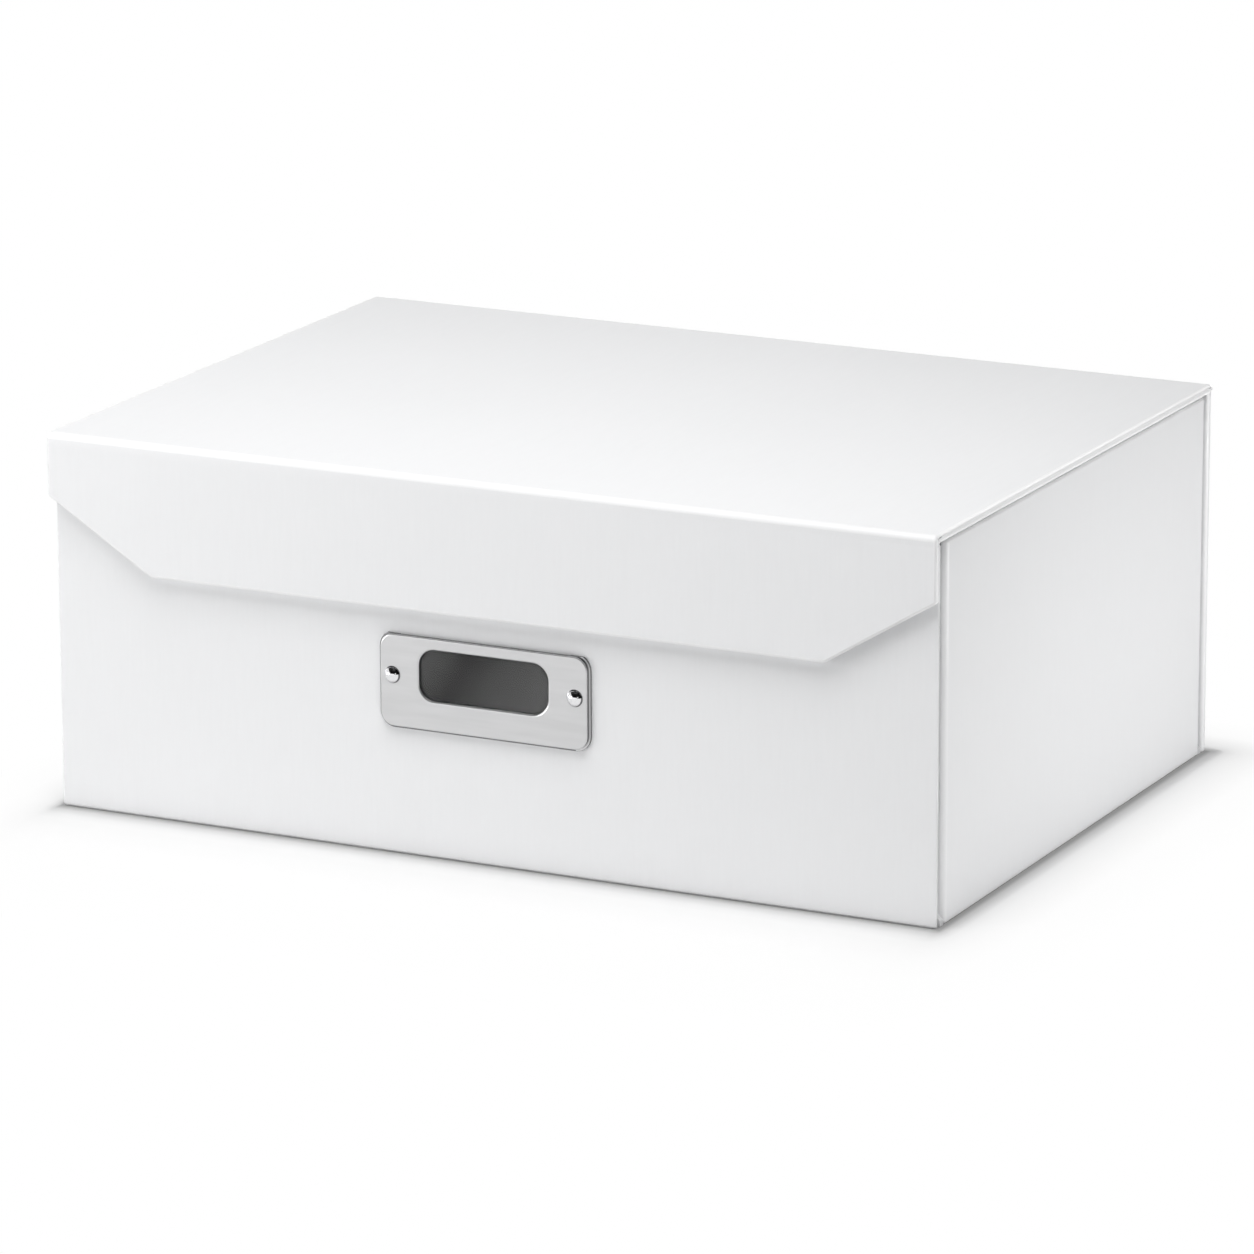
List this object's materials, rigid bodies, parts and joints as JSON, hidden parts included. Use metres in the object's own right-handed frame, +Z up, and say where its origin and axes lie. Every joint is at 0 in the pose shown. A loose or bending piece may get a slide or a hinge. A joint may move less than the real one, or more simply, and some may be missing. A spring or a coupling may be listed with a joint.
{
  "type": "document box",
  "caption": "Rigid paper-covered document box with a hinged lid, a front flap with cut corners and a riveted metal label frame.",
  "frame": {"origin": "middle of the footprint, on the table", "axes": "+X to the right seen from the front, +Y to the back, +Z up; the front flap looks along -Y"},
  "size_m": [0.34, 0.244, 0.137],
  "materials": {
    "cover_paper": "white laminated cover paper, fine fibre grain, soft sheen",
    "lining_paper": "white uncoated lining paper, matt",
    "greyboard": "bare grey board",
    "satin_steel": "satin nickel plate",
    "polished_steel": "polished nickel plate",
    "plain_steel": "plain zinc-plated steel",
    "magnet_metal": "nickel-plated magnet",
    "clear_film": "clear glossy film",
    "grey_card": "dark grey card, matt"
  },
  "bodies": {
    "box": {"base_board": "greyboard", "base_cover": "cover_paper", "base_lining": "lining_paper", "front_board": "greyboard", "front_cover": "cover_paper", "front_lining": "lining_paper", "back_board": "greyboard", "back_cover": "cover_paper", "back_lining": "lining_paper", "left_side_board": "greyboard", "left_side_cover": "cover_paper", "left_side_lining": "lining_paper", "right_side_board": "greyboard", "right_side_cover": "cover_paper", "right_side_lining": "lining_paper", "front_left_corner_strip": "cover_paper", "front_right_corner_strip": "cover_paper", "back_left_corner_strip": "cover_paper", "back_right_corner_strip": "cover_paper", "label_frame": "satin_steel", "label_rivets": "polished_steel", "rivet_washers": "plain_steel", "strike_plates": "plain_steel", "label_window_film": "clear_film"},
    "lid": {"lid_board": "greyboard", "lid_cover": "cover_paper", "lid_lining": "lining_paper", "lid_hinge_cover": "cover_paper", "lid_hinge_lining": "lining_paper", "flap_hinge_cover": "cover_paper", "flap_hinge_lining": "lining_paper"},
    "flap": {"flap_board": "greyboard", "flap_cover": "cover_paper", "flap_lining": "lining_paper", "flap_magnets": "magnet_metal"},
    "card": {"label_card": "grey_card"}
  },
  "joints": [
    {"name": "lid_hinge", "type": "hinge", "parent": "box", "child": "lid", "pos_m": [0, 0.12144, 0.13644], "axis": [-1, 0, 0], "range_deg": [0, 180], "deforming": ["lid_hinge_cover", "lid_hinge_lining"]},
    {"name": "flap_hinge", "type": "hinge", "parent": "lid", "child": "flap", "pos_m": [0, -0.12144, 0.13644], "axis": [-1, 0, 0], "range_deg": [0, 180], "deforming": ["flap_hinge_cover", "flap_hinge_lining"]},
    {"name": "label_card_slide", "type": "slide", "parent": "box", "child": "card", "axis": [0, 0, 1], "range_m": [0, 0.022]}
  ]
}
